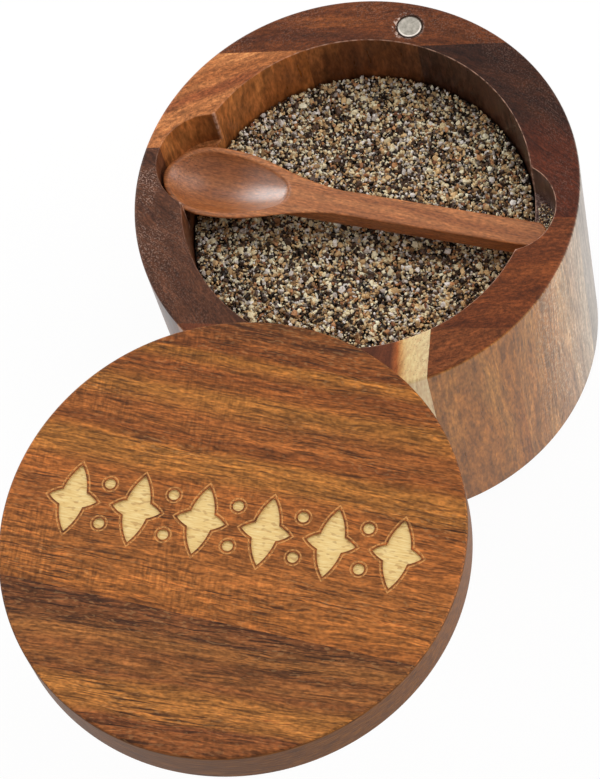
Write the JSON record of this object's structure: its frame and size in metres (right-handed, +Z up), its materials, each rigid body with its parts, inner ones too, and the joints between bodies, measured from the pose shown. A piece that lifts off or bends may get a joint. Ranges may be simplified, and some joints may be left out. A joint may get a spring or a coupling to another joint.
{
  "type": "wooden pepper cellar with swivel lid and spoon",
  "caption": "Round wooden cellar for ground pepper or salt, with a round lid that swivels on an upright pin, a magnet catch, and a small spoon lying in notches across the rim.",
  "frame": {"origin": "centre of the body's round underside", "axes": "+Z up; the lid's pivot pin stands at -Y and its magnet catch at +Y; the lid is stored swung open to -Y, so Y is the longest way; the spoon lies along X with its bowl at -X"},
  "size_m": [0.102, 0.1935, 0.0809],
  "materials": {
    "reddish_brown_block": "satin",
    "golden_block": "satin",
    "dark_block": "satin",
    "dark_red_block": "satin",
    "red_block": "satin",
    "sapwood_block": "satin",
    "mid_brown_block": "satin",
    "wide_board": "satin",
    "narrow_board": "satin",
    "spoon_wood": "satin",
    "pin_steel": "satin",
    "magnet_nickel": "satin",
    "pepper": "matte"
  },
  "bodies": {
    "root": {"back_block": "reddish_brown_block", "left_back_block": "golden_block", "left_front_block": "dark_block", "right_back_block": "dark_red_block", "right_front_block": "red_block", "front_sapwood_block": "sapwood_block", "front_block": "mid_brown_block", "pivot_pin": "pin_steel", "rim_magnet": "magnet_nickel", "ground_pepper": "pepper"},
    "lid": {"lid_wide_board": "wide_board", "lid_narrow_board": "narrow_board", "lid_magnet": "magnet_nickel"},
    "spoon": {"spoon": "spoon_wood"}
  },
  "joints": [
    {"name": "lid_swivel", "type": "hinge", "parent": "root", "child": "lid", "pos_m": [0, -0.046, 0.0694], "axis": [0, 0, 1], "continuous": true},
    {"name": "spoon_lift", "type": "slide", "parent": "root", "child": "spoon", "axis": [0, 0, 1], "range_m": [0, 0.06]}
  ]
}
